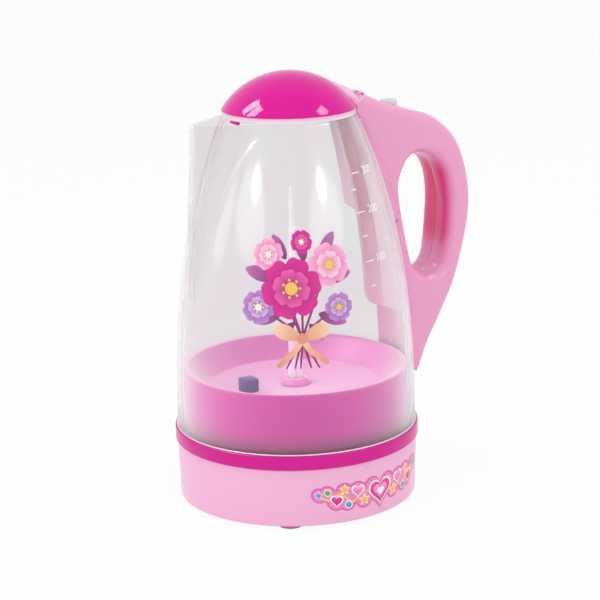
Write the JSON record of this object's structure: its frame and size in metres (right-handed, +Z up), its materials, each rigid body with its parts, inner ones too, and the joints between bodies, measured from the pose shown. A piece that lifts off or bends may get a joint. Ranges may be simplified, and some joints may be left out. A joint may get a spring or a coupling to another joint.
{
  "type": "toy electric kettle",
  "caption": "Toy electric kettle: clear jug with a wedge spout on a round pink base, hinged domed lid, loop handle with a push button.",
  "frame": {"origin": "centre of the bounding box, on the floor that the feet stand on", "axes": "+Z up, +X towards the handle, -X towards the spout"},
  "size_m": [0.1424, 0.1088, 0.1905],
  "materials": {
    "pale_pink": "glossy moulded plastic",
    "handle_pink": "glossy moulded plastic",
    "band_magenta": "glossy moulded plastic",
    "lid_magenta": "glossy moulded plastic",
    "drum_pink": "satin moulded plastic",
    "clear_plastic": "clear polystyrene",
    "liner_pink": "pale translucent plastic",
    "button_grey": "grey translucent plastic",
    "dark_plastic": "satin dark plastic",
    "foot_rubber": "matt pink rubber",
    "board_green": "printed circuit board",
    "steel": "plated steel",
    "cell_skin": "plain wrapped battery cell"
  },
  "bodies": {
    "kettle_body": {"base_shell": "pale_pink", "base_plate": "pale_pink", "battery_door": "pale_pink", "battery_door_screw": "steel", "battery_cell_1": "cell_skin", "battery_cell_2": "cell_skin", "contact_bridge": "steel", "contact_positive": "steel", "contact_negative": "steel", "speaker": "dark_plastic", "foot_1": "foot_rubber", "foot_2": "foot_rubber", "foot_3": "foot_rubber", "base_screw_1": "steel", "base_screw_2": "steel", "base_screw_3": "steel", "band_ring": "band_magenta", "jug_shell": "clear_plastic", "inner_drum": "drum_pink", "light_guide": "clear_plastic", "guide_collar": "band_magenta", "sensor_block": "dark_plastic", "circuit_board": "board_green", "lamp": "clear_plastic", "hinge_pin": "steel", "handle_near_shell": "handle_pink", "handle_far_shell": "handle_pink", "back_flange": "handle_pink", "handle_screw_1": "steel", "handle_screw_2": "steel", "handle_screw_3": "steel", "switch_body": "dark_plastic", "switch_board": "board_green"},
    "lid": {"lid_dome": "lid_magenta", "lid_liner": "liner_pink", "lid_tab": "lid_magenta", "lid_fairing": "pale_pink"},
    "button": {"push_button": "button_grey"}
  },
  "joints": [
    {"name": "lid_hinge", "type": "hinge", "parent": "kettle_body", "child": "lid", "pos_m": [0.0148, 0, 0.1774], "axis": [0, 1, 0], "range_deg": [0, 95]},
    {"name": "button_press", "type": "slide", "parent": "kettle_body", "child": "button", "axis": [0, 0, -1], "range_m": [0, 0.0015], "stiffness_N_per_m": 300, "springref_m": -0.0005}
  ]
}
